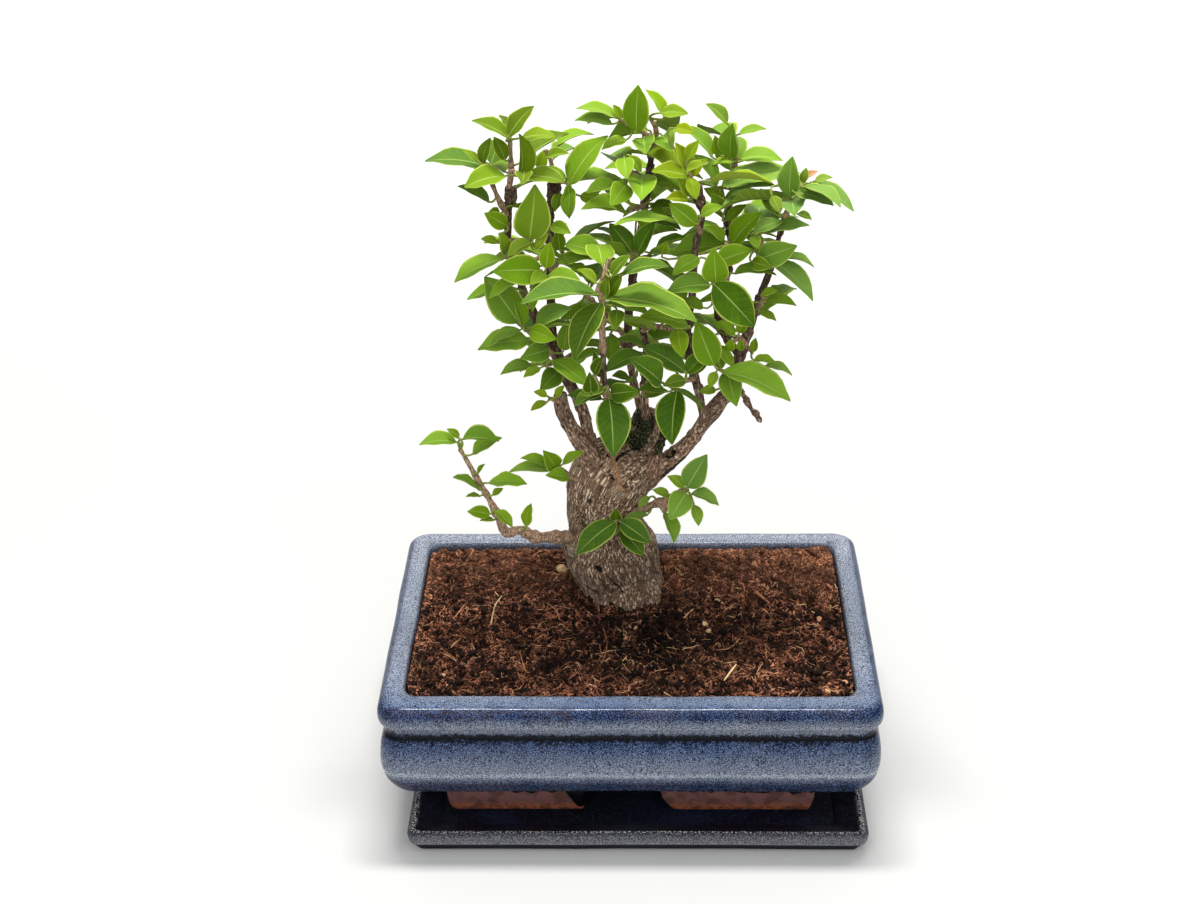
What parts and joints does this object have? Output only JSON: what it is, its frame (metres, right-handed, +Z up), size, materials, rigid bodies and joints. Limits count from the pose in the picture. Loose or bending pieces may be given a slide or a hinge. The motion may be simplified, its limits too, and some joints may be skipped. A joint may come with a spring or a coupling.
{
  "type": "potted bougainvillea bonsai",
  "caption": "Small bougainvillea bonsai with a stout trunk and upright leafy limbs, planted in a rectangular glazed pot that stands on its drip tray.",
  "frame": {"origin": "on the table under the middle of the pot, at the centre of the whole object's base", "axes": "+Z up along the trunk, -Y towards the front long side of the pot, +X to the right along the pot"},
  "size_m": [0.21, 0.1552, 0.3037],
  "materials": {
    "pot_glaze": "gloss",
    "tray_glaze": "gloss",
    "soil": "matte",
    "bark": "matte",
    "leaf": "satin",
    "screen": "matte"
  },
  "bodies": {
    "root": {"tray": "tray_glaze", "pot": "pot_glaze", "drain_screen_left": "screen", "drain_screen_right": "screen", "soil": "soil", "trunk": "bark", "shoot_heroes_centre": "leaf", "shoot_hanging_centre": "leaf", "shoot_hanging_right": "leaf", "shoot_trunk_front": "leaf", "shoot_heroes_right": "leaf", "shoot_big_leaves_right": "leaf", "shoot_lower_right": "leaf", "shoot_crown_left": "leaf", "shoot_crown_left_side": "leaf", "shoot_crown_left_back": "leaf", "shoot_left_upper": "leaf", "shoot_left_side": "leaf", "shoot_left_middle": "leaf", "shoot_left_low": "leaf", "shoot_left_bottom": "leaf", "shoot_left_cut": "leaf", "shoot_left_centre": "leaf", "shoot_centre_back": "leaf", "shoot_crown_centre": "leaf", "shoot_centre_upper": "leaf", "shoot_centre_side": "leaf", "shoot_centre_right": "leaf", "shoot_right_inner": "leaf", "shoot_centre_dark": "leaf", "shoot_centre_lower": "leaf", "shoot_centre_bottom": "leaf", "shoot_crown_right": "leaf", "shoot_crown_right_side": "leaf", "shoot_right_upper": "leaf", "shoot_right_middle": "leaf", "shoot_right_side": "leaf", "shoot_trunk_left": "leaf", "shoot_trunk_right": "leaf", "shoot_branch_low_left": "leaf", "shoot_back_left": "leaf", "shoot_back_left_low": "leaf", "shoot_back_middle": "leaf", "shoot_back_middle_low": "leaf", "shoot_back_crown": "leaf", "shoot_back_right": "leaf", "shoot_back_right_low": "leaf"}
  },
  "joints": []
}
